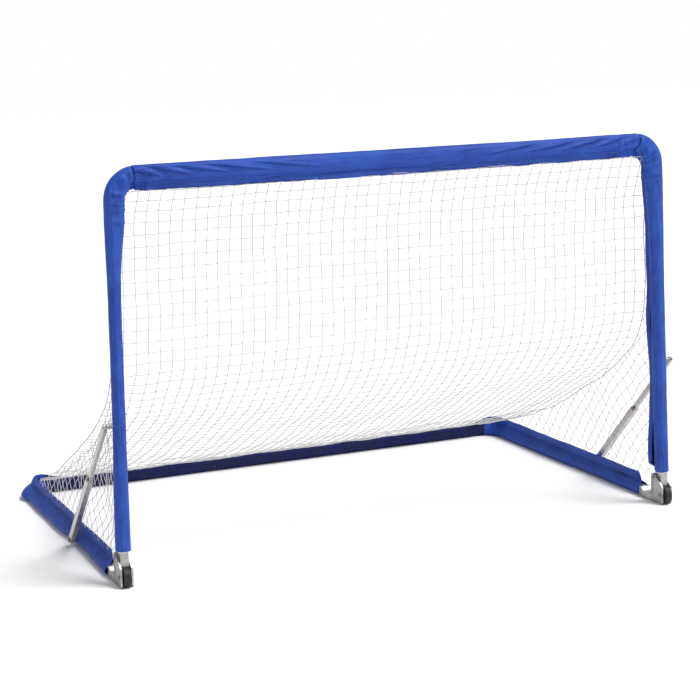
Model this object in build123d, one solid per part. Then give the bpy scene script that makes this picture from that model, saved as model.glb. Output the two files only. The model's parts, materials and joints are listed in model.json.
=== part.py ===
from build123d import *
from math import atan2, cos, degrees, hypot, radians, sin, tan
import os

os.makedirs("parts", exist_ok=True)

# A folding goal on a U-shaped base. X is across the mouth, Y runs back from the mouth, Z is up.
# The pieces are drawn with Y = 0 on the posts' axis and the ground at Z = 0; write() then moves
# them all so that the origin is at the middle of the footprint.

# ---- driving dimensions, millimetres ----
goal_width = 1829.0          # across the posts' axes at the hinges
goal_height = 1211.0         # ground to the top of the crossbar's sleeve
base_depth = 1190.0          # posts' axis to the back rail's axis
post_lean = 27.0             # how far each post leans in between its hinge and the crossbar
tube_od = 32.0
tube_wall = 1.5
bend_radius = 75.0           # of a tube's axis at each corner
bar_joint = 150.0            # from a post's axis to its joint in the crossbar
rail_joint = 150.0           # from a side rail's axis to its joint in the back rail
coupler_length = 120.0       # insert that joins two tubes
coupler_wall = 2.0
slip_fit = 0.15              # radial gap between a tube and what slides into it

sleeve_wall = 3.7            # fabric sleeve around a tube
sleeve_gap = 0.3
flap_width = 32.0            # stitched edge of a sleeve, to which the net is tied
flap_thickness = 4.0
post_flap_in = 6.0           # how far inside its post's axis a post's flap lies
rail_flap_out = 4.0          # how far outside its rail's axis a rail's flap lies
sleeve_start = 7.0           # from the end of a tube to the end of its sleeve
post_flap_start = 18.0       # from the end of a post's sleeve to its flap
back_flap_rise = 40.0        # degrees above level, of the back rail's flap
sleeve_seam = 2.0            # gap between the ends of two sleeves

hinge_y = 22.0               # hinge of the front frame, behind and above its foot
hinge_z = 85.0
hinge_pin_d = 8.0
pivot_fit = 0.05             # radial gap of a turning pin
foot_gap = 28.0              # between a foot's two cheeks
foot_cheek = 6.0
foot_front = 30.0            # in front of the post's axis
foot_shoulder = 59.0         # height of its front edge
foot_toe = 10.0              # radius of its lower front corner
foot_waist = 24.0            # height of its arm between the hinge and the rail
foot_collar = 12.0           # length of the full height where it meets the rail
foot_crook = 12.0            # radius between the arm and the hinge's upright
foot_back = 106.0            # where the rail's tube starts
foot_arm_over = 14.0         # height of its arm above the rail's axis
foot_floor = 10.0            # thickness of its floor
lobe_radius = 13.0           # around the hinge's pin
rim_width = 4.0              # raised rim around a cheek's outer face
rim_depth = 1.5
spigot_length = 55.0         # of a foot in its rail, and of a fitting in its post
stop_height = 8.0            # rib that the upright frame stands on
stop_width = 12.0
fitting_side_gap = 0.5       # between the hinge fitting and a cheek
fitting_taper = 1.5
fitting_half_depth = 15.0
tube_above = 2.0             # from the top of the hinge's lobe to the end of a post's tube

wheel_d = 60.0
wheel_width = 22.0
wheel_y = 16.0               # axle's distance in front of the post's axis
wheel_lift = 0.2             # tread above the ground with the frame standing
wheel_clear = 0.8            # between the wheel and the hinge fitting above it
tread_depth = 7.0
axle_d = 8.0
hub_gap = 0.05

link_clear = 0.5             # between a sleeve and the head of the stay's knee pin
stay_post_z = 476.0          # stay's pivot on its post
stay_rail_y = 484.0          # stay's pivot on its rail
lower_link_width = 16.0
lower_link_depth = 22.0
lower_link_wall = 2.0
upper_link_width = 10.0
upper_link_depth = 17.0
upper_link_wall = 1.8
stay_pin_d = 8.0
knee_pin_d = 7.0
pin_head_d = 14.0
pin_head = 2.0               # height of a pin's head
open_pivot_gap = 0.4         # between the post's stud and the upper link
sleeve_hole_d = 24.0         # hole in a sleeve around a stay's pivot

rivet_d = 5.0
rivet_head_d = 9.0
rivet_head = 1.2

net_thickness = 0.8
net_gap = 1.0                # between the net's edge and a flap
net_side_gap = 2.0           # between the back panel and a side panel
net_narrow_z = 816.0         # above this the back panel hangs between the posts

# ---- values worked out from them ----
half_width = goal_width / 2
tube_r = tube_od / 2
bore_r = tube_r - tube_wall
insert_r = bore_r - slip_fit
sleeve_r = tube_r + sleeve_gap + sleeve_wall
rail_z = sleeve_r
bar_z = goal_height - sleeve_r
wheel_z = wheel_d / 2 + wheel_lift
front_reach = wheel_y + wheel_d / 2
origin_y = (base_depth + sleeve_r - front_reach) / 2
lean = degrees(atan2(post_lean, bar_z - hinge_z))
top_half = half_width - post_lean
top_tangent = bend_radius / tan(radians(90 + lean) / 2)
foot_width = foot_gap + 2 * foot_cheek
foot_arm = rail_z + foot_arm_over
fitting_low = wheel_z + wheel_d / 2 + wheel_clear
stop_top = min(fitting_low, hinge_z - lobe_radius) - 1
fitting_width = foot_gap - 2 * fitting_side_gap
fitting_top_width = fitting_width - 2 * fitting_taper
tube_low = hinge_z + lobe_radius + tube_above
post_sleeve_low = tube_low + sleeve_start
post_flap_low = post_sleeve_low + post_flap_start
rail_sleeve_front = foot_back + sleeve_start
stay_x = half_width - post_lean * (stay_post_z - hinge_z) / (bar_z - hinge_z)
stay_lean = half_width - stay_x
link_offset = sleeve_r + link_clear + pin_head + lower_link_width / 2
sides = (("left", -1), ("right", 1))


# ---- how the stay folds ----
def turned_back(y, z):
    """Where a point of the upright frame lies when the frame is folded down on the base."""
    return hinge_y + (z - hinge_z), hinge_z - (y - hinge_y)


def stay_lengths():
    """The two link lengths that are straight when upright and still meet when folded flat."""
    straight = hypot(stay_rail_y, stay_post_z - rail_z)
    fold_y, fold_z = turned_back(0, stay_post_z)
    run = stay_rail_y - fold_y
    half_drop = (fold_z - rail_z) / 2
    reach = run / 2 + straight * (0.25 - half_drop ** 2 / (straight ** 2 - run ** 2)) ** 0.5
    lower = hypot(reach, half_drop)
    return lower, straight - lower


lower_length, upper_length = stay_lengths()
stay_angle = degrees(atan2(stay_post_z - rail_z, -stay_rail_y))
knee_y = stay_rail_y + lower_length * cos(radians(stay_angle))
knee_z = rail_z + lower_length * sin(radians(stay_angle))


# ---- helpers ----
def write(name, shape):
    """Write one piece, moved into the goal's own frame."""
    export_step(Pos(0, -origin_y, 0) * shape, f"parts/{name}.step")


def mirrored(shape, side):
    """A piece drawn for the right side, or its mirror image for the left."""
    return shape if side > 0 else mirror(shape, about=Plane.YZ)


def on_post(x, y, z):
    """A place near the right foot, x outward from the middle of its hinge."""
    return Pos(half_width + x, y, z)


def up_post(z):
    """A place on the right post's axis at a height, turned with its lean."""
    return Pos(half_width, 0, hinge_z) * Rot(0, -lean, 0) * Pos(0, 0, z - hinge_z)


def x_rod(diameter, start, end, y, z):
    """A rod along X between two distances outward from the middle of the right hinge."""
    turn = Rot(0, 90, 0)
    return on_post((start + end) / 2, y, z) * turn * Cylinder(diameter / 2, end - start)


def side_plate(outline, start, end):
    """A plate in the Y-Z plane, between two distances outward from the middle of the hinge."""
    return Pos(half_width + start, 0, 0) * extrude(Plane.YZ * outline, end - start)


def ring(outer, inner):
    return Circle(outer) - Circle(inner)


def bent_tube(path, outer, inner):
    """A round tube along a path of straight runs and tangent arcs."""
    return sweep((path ^ 0) * ring(outer, inner), path)


def rounded(outline, radius, *places):
    """The outline with the corners nearest to the given places rounded."""
    near = [outline.vertices().sort_by_distance((y, z, 0))[0] for y, z in places]
    return fillet(near, radius)


# ---- tubes, their inserts and rivets ----
def cornered(start, corner, end):
    """Two straight runs of a tube's axis with the bend between them."""
    start, corner, end = Vector(start), Vector(corner), Vector(end)
    back = (start - corner).normalized()
    on = (end - corner).normalized()
    half_turn = radians(back.get_angle(on)) / 2
    tangent = bend_radius / tan(half_turn)
    middle = corner + (back + on).normalized() * bend_radius * (1 / sin(half_turn) - 1)
    bend = ThreePointArc(corner + back * tangent, middle, corner + on * tangent)
    return Wire([Line(start, corner + back * tangent), bend, Line(corner + on * tangent, end)])


def post_path(low, joint):
    """Axis of the right post, from its lower end round the corner to its joint in the bar."""
    start = up_post(low).position
    return cornered(start, (top_half, 0, bar_z), (top_half - joint, 0, bar_z))


def rail_path(front, joint):
    """Axis of the right rail, from the foot round the back corner to its joint in the back rail."""
    corner = (half_width, base_depth, rail_z)
    return cornered((half_width, front, rail_z), corner, (half_width - joint, base_depth, rail_z))


def straight_tube(length, y, z, outer, inner):
    """A tube along X, centred on the goal's middle plane."""
    return Pos(0, y, z) * Rot(0, 90, 0) * (Cylinder(outer, length) - Cylinder(inner, length))


def rivet(axis_length):
    """A rivet through a tube, along Z, with a low head at each end."""
    body = Cylinder(rivet_d / 2, axis_length)
    for end in (-1, 1):
        body += Pos(0, 0, end * (axis_length + rivet_head) / 2) * Cylinder(rivet_head_d / 2, rivet_head)
    return body


def rivet_through(place, turn):
    return place * turn * rivet(tube_od - 2 * rivet_seat())


def rivet_seat():
    """How far a rivet's flat head sinks into the round of its tube."""
    return tube_r - (tube_r ** 2 - (rivet_head_d / 2) ** 2) ** 0.5


def rail_rivets():
    """Rivets that hold the feet and the inserts in the base's tubes."""
    rivets = []
    for side in (-1, 1):
        foot = Pos(side * half_width, foot_back + spigot_length / 2, rail_z)
        rivets.append(rivet_through(foot, Rot(0, 90, 0)))
        for step in (-1, 1):
            x = side * (half_width - rail_joint) + step * coupler_length / 4
            rivets.append(rivet_through(Pos(x, base_depth, rail_z), Rot(90, 0, 0)))
    return rivets


def frame_rivets():
    """Rivets that hold the hinge fittings and the inserts in the front frame's tubes."""
    rivets = []
    for side in (-1, 1):
        post = up_post(tube_low + spigot_length / 2).position
        rivets.append(rivet_through(Pos(side * post.X, 0, post.Z), Rot(90, 0, 0)))
        for step in (-1, 1):
            x = side * (top_half - bar_joint) + step * coupler_length / 4
            rivets.append(rivet_through(Pos(x, 0, bar_z), Rot(90, 0, 0)))
    return rivets


def drilled(shape, rivets):
    """A tube or an insert with its rivets' holes, and seats for their heads."""
    for one in rivets:
        shape -= one
    return shape


# ---- sleeves ----
def flap(length):
    """A flap along X, its stitched edge up and its root buried in the sleeve it hangs from."""
    root = (tube_r + sleeve_gap + sleeve_r) / 2
    off_axis = max(post_flap_in, rail_flap_out) + flap_thickness / 2
    root = (root ** 2 - off_axis ** 2) ** 0.5
    height = sleeve_r + flap_width - root
    return Pos(0, 0, root + height / 2) * Box(length, flap_thickness, height)


def post_sleeve():
    """Fabric over the right post, round the corner and up to the seam in the crossbar."""
    joint = bar_joint - sleeve_seam / 2
    body = bent_tube(post_path(post_sleeve_low, joint), sleeve_r, tube_r + sleeve_gap)
    length = bar_z - bend_radius - post_flap_low
    edge = up_post(post_flap_low + length / 2) * Pos(-post_flap_in, 0, 0)
    body += edge * Rot(-90, 0, 90) * flap(length)
    return body - x_rod(sleeve_hole_d, -stay_lean, sleeve_r + 2, 0, stay_post_z)


def rail_sleeve():
    """Fabric over the right rail and round the back corner."""
    joint = rail_joint - sleeve_seam / 2
    body = bent_tube(rail_path(rail_sleeve_front, joint), sleeve_r, tube_r + sleeve_gap)
    length = base_depth - bend_radius - rail_sleeve_front
    middle = Pos(half_width + rail_flap_out, rail_sleeve_front + length / 2, rail_z)
    body += middle * Rot(0, 0, 90) * flap(length)
    return body - x_rod(sleeve_hole_d, 0, sleeve_r + 2, stay_rail_y, rail_z)


def crossbar_sleeve():
    """Fabric over the crossbar, with its flap hanging down."""
    length = 2 * (top_half - bar_joint) - sleeve_seam
    body = straight_tube(length, 0, 0, sleeve_r, tube_r + sleeve_gap)
    return Pos(0, 0, bar_z) * (body + Rot(180, 0, 0) * flap(length))


def back_sleeve():
    """Fabric over the back rail, with its flap turned in towards the net."""
    length = goal_width - 2 * rail_joint - sleeve_seam
    body = straight_tube(length, 0, 0, sleeve_r, tube_r + sleeve_gap)
    return Pos(0, base_depth, rail_z) * (body + Rot(90 - back_flap_rise, 0, 0) * flap(length))


# ---- feet and the hinge ----
def cheek_outline():
    """Side view of a foot: an upright with the hinge's lobe, and an arm along the rail."""
    places = [
        (-foot_front, 0),
        (-foot_front, foot_shoulder),
        (hinge_y - lobe_radius * 0.8, hinge_z + lobe_radius * 0.6),
        (hinge_y + lobe_radius, hinge_z),
        (hinge_y + lobe_radius, foot_waist),
        (foot_back - 2 * foot_collar, foot_waist),
        (foot_back - foot_collar, foot_arm),
        (foot_back, foot_arm),
        (foot_back, 0),
    ]
    outline = make_face(Polyline(*places, close=True))
    outline = rounded(outline, foot_toe, places[0])
    outline = rounded(outline, lobe_radius / 2, places[1])
    outline = rounded(outline, foot_crook, places[4])
    return outline + Pos(hinge_y, hinge_z) * Circle(lobe_radius)


def foot():
    """Cast foot: two cheeks, an arm with a floor and a spigot, a stop rib and bosses."""
    outline = cheek_outline()
    half = foot_width / 2
    body = side_plate(outline, -half, half)
    inner = offset(outline, -rim_width, kind=Kind.INTERSECTION)
    for start, end in ((-half, -half + rim_depth), (half - rim_depth, half)):
        body -= side_plate(inner, start, end)
    slot_back = hinge_y + lobe_radius + rim_width
    room = foot_back + foot_front
    slot = Box(foot_gap, room + slot_back, 3 * hinge_z)
    body -= on_post(0, slot_back - (room + slot_back) / 2, 1.5 * hinge_z + foot_floor) * slot
    wheel_room = wheel_d + 4
    well = Box(foot_gap, wheel_room, wheel_room)
    body -= on_post(0, -wheel_y - 2, wheel_z - 2) * well
    rib_y = hinge_y - stop_width / 2
    rib_z = stop_top - stop_height / 2
    body += on_post(0, rib_y, rib_z) * Box(foot_gap, stop_width, stop_height)
    for y, z, radius in ((hinge_y, hinge_z, lobe_radius - rim_width), (-wheel_y, wheel_z, axle_d)):
        for start in (-half, half - rim_depth):
            body += x_rod(2 * radius, start, start + rim_depth, y, z)
    spigot = on_post(0, foot_back + spigot_length / 2, rail_z) * Rot(90, 0, 0)
    body += spigot * Cylinder(insert_r, spigot_length)
    body -= x_rod(hinge_pin_d, -half - 1, half + 1, hinge_y, hinge_z)
    return body - x_rod(axle_d, -half - 1, half + 1, -wheel_y, wheel_z)


def headed_pin(diameter, start, end, head_d, y, z):
    """A pin along X with a low head outside each of its ends."""
    pin = x_rod(diameter, start, end, y, z)
    pin += x_rod(head_d, start - pin_head, start, y, z)
    return pin + x_rod(head_d, end, end + pin_head, y, z)


def hinge_fitting():
    """Block on the hinge's pin, tapered up to the post and plugged into its tube."""
    low = Rectangle(fitting_width, 2 * fitting_half_depth)
    high = Rectangle(fitting_top_width, 2 * fitting_half_depth - 2)
    body = on_post(0, 0, 0) * loft([Pos(0, 0, fitting_low) * low, Pos(0, 0, tube_low) * high])
    body -= up_post(tube_low + tube_od) * Box(2 * tube_od, 2 * tube_od, 2 * tube_od)
    lug = Pos(hinge_y, hinge_z) * Circle(lobe_radius - 1)
    lug += Pos(hinge_y / 2, hinge_z) * Rectangle(hinge_y, 2 * lobe_radius - 2)
    body += side_plate(lug, -fitting_top_width / 2, fitting_top_width / 2)
    body += up_post(tube_low + spigot_length / 2) * Cylinder(insert_r, spigot_length + 4)
    return body - x_rod(hinge_pin_d + 2 * pivot_fit, -foot_gap, foot_gap, hinge_y, hinge_z)


# ---- wheels ----
def wheel_hub():
    """Plastic hub with a groove for the tyre, free to turn on its axle."""
    rim = wheel_d / 2 - tread_depth
    hub = x_rod(2 * rim, -wheel_width / 2, wheel_width / 2, -wheel_y, wheel_z)
    for start in (-wheel_width / 2, wheel_width / 2 - 3):
        dish = x_rod(2 * rim - 6, start, start + 3, -wheel_y, wheel_z)
        hub -= dish - x_rod(2 * axle_d, start, start + 3, -wheel_y, wheel_z)
    return hub - x_rod(axle_d + 2 * hub_gap, -wheel_width, wheel_width, -wheel_y, wheel_z)


def wheel_tyre():
    """Rubber tread with rounded shoulders."""
    half = wheel_width / 2
    tread = x_rod(wheel_d, -half, half, -wheel_y, wheel_z)
    tread = fillet(tread.edges().filter_by(GeomType.CIRCLE), 3)
    return tread - x_rod(wheel_d - 2 * tread_depth, -half, half, -wheel_y, wheel_z)


# ---- folding stays ----
def link(length, width, depth, wall, pins):
    """A U-channel link along +Z from its first pin, its web towards -Y, round at both ends."""
    outline = Pos(0, length / 2) * Rectangle(depth, length)
    for place in (0, length):
        outline += Pos(0, place) * Circle(depth / 2)
    plate = Plane.YZ * outline
    body = Pos(-width / 2, 0, 0) * extrude(plate, width)
    groove = Plane.YZ * (Pos(wall, length / 2) * Rectangle(depth, length + 2 * depth))
    body -= Pos(-width / 2 + wall, 0, 0) * extrude(groove, width - 2 * wall)
    for place, diameter in zip((0, length), pins):
        body -= Pos(0, 0, place) * Rot(0, 90, 0) * Cylinder(diameter / 2, 2 * width)
    return body


def lower_link():
    """Wide link from the rail's pivot up to the knee."""
    pins = (stay_pin_d + 2 * pivot_fit, knee_pin_d)
    body = link(lower_length, lower_link_width, lower_link_depth, lower_link_wall, pins)
    return on_post(link_offset, stay_rail_y, rail_z) * Rot(stay_angle - 90, 0, 0) * body


def upper_link():
    """Narrow link from the knee up to the post, which folds into the lower link."""
    pins = (knee_pin_d + 2 * pivot_fit, stay_pin_d)
    body = link(upper_length, upper_link_width, upper_link_depth, upper_link_wall, pins)
    return on_post(link_offset, knee_y, knee_z) * Rot(stay_angle - 90, 0, 0) * body


def knee_pin():
    half = lower_link_width / 2
    return headed_pin(knee_pin_d, link_offset - half, link_offset + half, 12, knee_y, knee_z)


def rail_bolt():
    """Bolt from inside the rail's tube, through a spacer, on which the lower link turns."""
    end = link_offset + lower_link_width / 2 + pivot_fit
    bolt = x_rod(stay_pin_d, bore_r - 5, end, stay_rail_y, rail_z)
    bolt += x_rod(pin_head_d - 4, bore_r - 5, bore_r - 2, stay_rail_y, rail_z)
    return bolt + x_rod(pin_head_d, end, end + 2 * pin_head, stay_rail_y, rail_z)


def rail_spacer():
    """Bush that stands the stay off its rail, seated on the round of the tube."""
    end = link_offset - lower_link_width / 2 - pivot_fit
    bush = x_rod(pin_head_d + 2, tube_r - 3, end, stay_rail_y, rail_z)
    tube = Pos(half_width, stay_rail_y, rail_z) * Rot(90, 0, 0) * Cylinder(tube_r, 2 * pin_head_d)
    return bush - tube - x_rod(stay_pin_d, 0, end + 1, stay_rail_y, rail_z)


def post_stud():
    """Shouldered stud in the post, which ends just short of the upper link."""
    end = link_offset - upper_link_width / 2 - open_pivot_gap
    wall = bore_r - stay_lean
    stud = x_rod(pin_head_d, wall - 3, end, 0, stay_post_z)
    stud -= up_post(stay_post_z) * Cylinder(tube_r, 2 * pin_head_d)
    stud += x_rod(stay_pin_d, wall - 4, end, 0, stay_post_z)
    return stud + x_rod(pin_head_d - 4, wall - 5, wall - 2, 0, stay_post_z)


def upper_pin():
    """Pin at the upper link's top end, whose inner end faces the post's stud."""
    half = upper_link_width / 2
    pin = x_rod(stay_pin_d, link_offset - half, link_offset + half, 0, stay_post_z)
    return pin + x_rod(pin_head_d, link_offset + half, link_offset + half + pin_head, 0, stay_post_z)


# ---- the net ----
def net_curve():
    """Side view of the net, from the crossbar's flap down behind the posts and back to the rail."""
    turn = radians(back_flap_rise)
    reach = sleeve_r + flap_width + net_gap
    flap_edge = sleeve_r + flap_width + 2 * net_gap
    foot_y = base_depth - reach * cos(turn)
    foot_z = rail_z + reach * sin(turn)
    post_top = bar_z - sleeve_r - flap_width - net_gap
    run = foot_y - flap_edge
    drop = stay_post_z - foot_z
    places = [
        (net_gap, post_top),
        (flap_edge + 0.008 * run, net_narrow_z),
        (flap_edge + 0.035 * run, foot_z + 1.26 * drop),
        (flap_edge + 0.135 * run, foot_z + 0.97 * drop),
        (flap_edge + 0.385 * run, foot_z + 0.60 * drop),
        (flap_edge + 0.577 * run, foot_z + 0.36 * drop),
        (flap_edge + 0.807 * run, foot_z + 0.14 * drop),
        (foot_y, foot_z),
    ]
    return Spline(*places)


def net_back():
    """Thin sheet in the net's curve, between the side panels and, higher up, the posts."""
    front = net_curve()
    back = Pos(net_thickness * 0.7, net_thickness * 0.7) * front
    ends = [Line(front @ 0, back @ 0), Line(front @ 1, back @ 1)]
    section = make_face([front, back, *ends])
    panel = Pos(-half_width, 0, 0) * extrude(Plane.YZ * section, goal_width)
    wide = 4 * sleeve_r
    outside = Pos(wide / 2 - post_flap_in - net_side_gap, 0, 0)
    outside *= Box(wide, 3 * base_depth, 3 * goal_height)
    beside = Pos(wide / 2 - sleeve_r - net_gap, 0, goal_height / 2)
    beside *= Box(wide, base_depth, goal_height)
    curve_r = bend_radius - sleeve_r - net_gap
    square = Pos(bend_radius / 2, 0, bend_radius / 2) * Box(bend_radius, base_depth, bend_radius)
    corner = square - Rot(90, 0, 0) * Cylinder(curve_r, base_depth)
    trim = up_post(hinge_z) * outside
    trim += up_post(net_narrow_z) * beside
    trim += Pos(top_half - top_tangent, 0, bar_z - bend_radius) * corner
    for side in (-1, 1):
        panel -= mirrored(trim, side)
    return panel


def net_side():
    """Thin sheet between the post's flap, the rail's flap and the back panel's edge."""
    curve = net_curve()
    inner_y = sleeve_r + flap_width + net_gap
    inner_z = rail_z + sleeve_r + flap_width + net_gap
    under = make_face(
        Polyline(
            (inner_y, inner_z + 2 * flap_width),
            (inner_y, goal_height),
            (base_depth, goal_height),
            (base_depth, inner_z),
            (inner_y + 2 * flap_width, inner_z),
            close=True,
        )
    )
    start, end = curve @ 0, curve @ 1
    below = make_face([curve, Polyline(start, (start.X, 0), (end.X, 0), end)])
    outline = under & (Pos(-net_side_gap, -net_side_gap) * below)
    outline = outline.faces().sort_by(SortBy.AREA)[-1]
    plate = side_plate(outline, -post_flap_in - net_thickness / 2, -post_flap_in + net_thickness / 2)
    return up_post(hinge_z) * on_post(0, 0, hinge_z).inverse() * plate


# ---- everything ----
def write_base():
    rivets = rail_rivets()
    bolt_hole = x_rod(stay_pin_d, 0, tube_od, stay_rail_y, rail_z)
    tube = bent_tube(rail_path(foot_back, rail_joint), tube_r, bore_r)
    back_length = goal_width - 2 * rail_joint
    write("back_rail_tube", drilled(straight_tube(back_length, base_depth, rail_z, tube_r, bore_r), rivets))
    write("back_rail_sleeve", drilled(back_sleeve(), rivets))
    write("rail_rivets", Compound(rivets))
    insert = Pos(half_width - rail_joint, 0, 0)
    insert *= straight_tube(coupler_length, base_depth, rail_z, insert_r, insert_r - coupler_wall)
    half = foot_width / 2
    for name, side in sides:
        write(f"{name}_rail_tube", drilled(mirrored(tube - bolt_hole, side), rivets))
        write(f"{name}_rail_coupler", drilled(mirrored(insert, side), rivets))
        write(f"{name}_rail_sleeve", drilled(mirrored(rail_sleeve(), side), rivets))
        write(f"{name}_foot", drilled(mirrored(foot(), side), rivets))
        hinge_pin = headed_pin(hinge_pin_d, -half, half, pin_head_d - 1, hinge_y, hinge_z)
        write(f"{name}_hinge_pin", mirrored(hinge_pin, side))
        axle = headed_pin(axle_d, -half, half, pin_head_d - 2, -wheel_y, wheel_z)
        write(f"{name}_wheel_axle", mirrored(axle, side))
        write(f"{name}_rail_bolt", mirrored(rail_bolt(), side))
        write(f"{name}_rail_spacer", mirrored(rail_spacer(), side))
        write(f"{name}_wheel_hub", mirrored(wheel_hub(), side))
        write(f"{name}_wheel_tyre", mirrored(wheel_tyre(), side))


def write_front_frame():
    rivets = frame_rivets()
    stud_hole = x_rod(stay_pin_d, -stay_lean, tube_od, 0, stay_post_z)
    tube = bent_tube(post_path(tube_low, bar_joint), tube_r, bore_r) - stud_hole
    bar_length = 2 * (top_half - bar_joint)
    write("crossbar_tube", drilled(straight_tube(bar_length, 0, bar_z, tube_r, bore_r), rivets))
    write("crossbar_sleeve", drilled(crossbar_sleeve(), rivets))
    write("frame_rivets", Compound(rivets))
    insert = Pos(top_half - bar_joint, 0, 0)
    insert *= straight_tube(coupler_length, 0, bar_z, insert_r, insert_r - coupler_wall)
    for name, side in sides:
        write(f"{name}_post_tube", drilled(mirrored(tube, side), rivets))
        write(f"{name}_bar_coupler", drilled(mirrored(insert, side), rivets))
        write(f"{name}_post_sleeve", drilled(mirrored(post_sleeve(), side), rivets))
        write(f"{name}_hinge_fitting", drilled(mirrored(hinge_fitting(), side), rivets))
        write(f"{name}_post_stud", mirrored(post_stud(), side))


def write_stays():
    for name, side in sides:
        write(f"{name}_lower_link", mirrored(lower_link(), side))
        write(f"{name}_upper_link", mirrored(upper_link(), side))
        write(f"{name}_knee_pin", mirrored(knee_pin(), side))
        write(f"{name}_upper_link_pin", mirrored(upper_pin(), side))


def write_net():
    write("net_back", net_back())
    for name, side in sides:
        write(f"net_{name}", mirrored(net_side(), side))


write_base()
write_front_frame()
write_stays()
write_net()
fold_y, fold_z = turned_back(0, stay_post_z)
print("origin is", round(origin_y, 3), "mm behind the posts' axis")
print("link lengths", round(lower_length, 3), round(upper_length, 3), "knee at", knee_y, knee_z)
print("rest angle", round(stay_angle, 3), "top pivot folded at", fold_y, fold_z)
print("links' offset", link_offset, "post's axis at the stay", round(stay_x, 3))
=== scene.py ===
"""The looks of the folding goal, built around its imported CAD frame. Metres throughout."""
import json
import math

import bmesh
import bpy
import numpy as np
from mathutils import Matrix, Vector, noise


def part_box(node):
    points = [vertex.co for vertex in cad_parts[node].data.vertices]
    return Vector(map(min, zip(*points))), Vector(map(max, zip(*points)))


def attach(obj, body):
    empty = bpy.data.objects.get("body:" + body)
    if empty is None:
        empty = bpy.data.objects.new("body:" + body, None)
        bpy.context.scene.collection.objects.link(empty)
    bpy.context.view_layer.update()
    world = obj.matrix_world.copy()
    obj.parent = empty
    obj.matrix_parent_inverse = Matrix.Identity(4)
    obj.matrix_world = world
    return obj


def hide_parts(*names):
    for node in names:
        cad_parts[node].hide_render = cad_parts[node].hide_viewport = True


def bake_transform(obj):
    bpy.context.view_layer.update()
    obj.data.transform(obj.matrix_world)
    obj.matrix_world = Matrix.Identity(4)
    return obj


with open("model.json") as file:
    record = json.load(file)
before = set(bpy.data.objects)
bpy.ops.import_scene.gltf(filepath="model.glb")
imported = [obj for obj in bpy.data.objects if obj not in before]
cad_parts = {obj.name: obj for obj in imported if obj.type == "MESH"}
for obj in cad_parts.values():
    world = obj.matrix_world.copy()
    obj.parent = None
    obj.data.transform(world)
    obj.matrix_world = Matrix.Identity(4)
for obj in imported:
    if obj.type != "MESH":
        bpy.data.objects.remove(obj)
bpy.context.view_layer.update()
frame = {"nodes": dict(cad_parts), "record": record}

# ---- sizes of what is only modelled here ----
BEND_RADIUS = 0.075           # of a tube's axis at a corner
BAR_JOINT = 0.150             # from a post's axis at the top to its joint in the crossbar
FABRIC = 0.0012               # thickness of one layer of sleeve
STEP = 0.005                  # along a sleeve
STITCH_AT = 0.031             # from a tube's axis to the seam that closes its sleeve
FLAP_HALF = 0.0013            # half the thickness of the stitched flap
FLAP_WAVE = 0.006             # how far the flap's edge wanders to the side
FLAP_SHRINK = 0.12            # share by which the flap is shorter inside a bend
BEND_EASE = 0.035             # length over which that fades beyond a bend
POST_FLAP_IN = 0.006          # the post's flap lies this far inside the post's axis
POST_LOW_IN = 0.009           # further in low on a post
POST_END_IN = 0.016           # and most at its open lower end
RAIL_FLAP_OUT = 0.004         # the rail's flap lies this far outside the rail's axis
RAIL_RISE = 0.2               # share by which a rail's flap is taller than in the CAD
BAR_FLAP_TURN = math.radians(84)    # from pointing back to pointing down
BACK_FLAP_TURN = math.radians(50)   # from pointing up to pointing in
END_CUT = 0.022               # a flap is cut back this far at a sleeve's open end
CUT_EASE = 0.2                # length over which that cut fades into the sleeve
SEAM_GAP = 0.0006             # from the end of a sleeve to the seam that joins it to the next
GROUND_GAP = 0.0006           # least height of a rail's fabric
FRONT_SEAM, BASE_SEAM = 0.90, 0.75  # share of a corner's bend that is the post's, the rail's
PUCKER_PITCH = 0.0125         # of the small puckers along the stitching
GATHER_PITCH = 0.030          # of the gathers inside a bend
GATHER_EASE = 0.13            # length over which they fade beyond a bend
GATHER_HEIGHT = 0.0085        # for gather values of about -1 to 1
MOST_IN, MOST_OUT = 0.0038, 0.0075  # of all wrinkles together, from the smooth sleeve
CORNER_FILL = 0.011           # how far the base's corners stand out
STITCH_PITCH, STITCH_LENGTH = 0.0052, 0.0034
THREAD_HALF, THREAD_RISE = 0.00035, 0.0004  # half a stitch's width, and how far it stands out
ROOT_STITCH, EDGE_STITCH = 0.002, 0.004     # from the flap's root and from its folded edge
STITCH_END = 0.004            # least length of a sleeve's end with no stitches on it
FLAP_SOLID = 0.004            # the two faces are one from this far inside the stitching
FLAP_POINTS, WEB_SHARES, ARC_POINTS = 9, (0.25, 0.5, 0.75), 47  # of a sleeve's outline
DRAPES = (                    # start, reach, first share round the tube, width and lift of a fold
    (-0.030, 0.13, 0.15, 0.011, 0.0090),
    (0.020, 0.18, 0.22, 0.012, 0.0085),
    (0.070, 0.25, 0.26, 0.014, 0.0080),
    (0.150, 0.30, 0.30, 0.016, 0.0070),
    (0.260, 0.36, 0.34, 0.019, 0.0050),
)
MESH_X = 0.037                # the net's mesh across the goal
MESH_S = 0.035                # and along its line from the crossbar to the back rail
CORD = 0.0010                 # radius of the net's cord
EDGE_CORD = 0.0016            # and of the cord along its edges
KNOT_SIZE = 1.9               # a knot's radius, in radii of the cord
BACK_SAG_Y, BACK_SAG_Z = 0.022, 0.030   # most sag of the back panel's upper and lower part
BACK_DRAWN_IN = 0.03          # at the back panel's lower corners
NET_WANDER, SIDE_WANDER = 0.005, 0.008  # how far the cords stray at the back and the sides
SIDE_BULGE = 0.02             # how far a side panel hangs in
SIDE_PITCH = 0.98 * MESH_X    # of a side panel's diamonds
SIDE_CUT = 0.045              # the side panel stops this far from the corner at the foot

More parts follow.
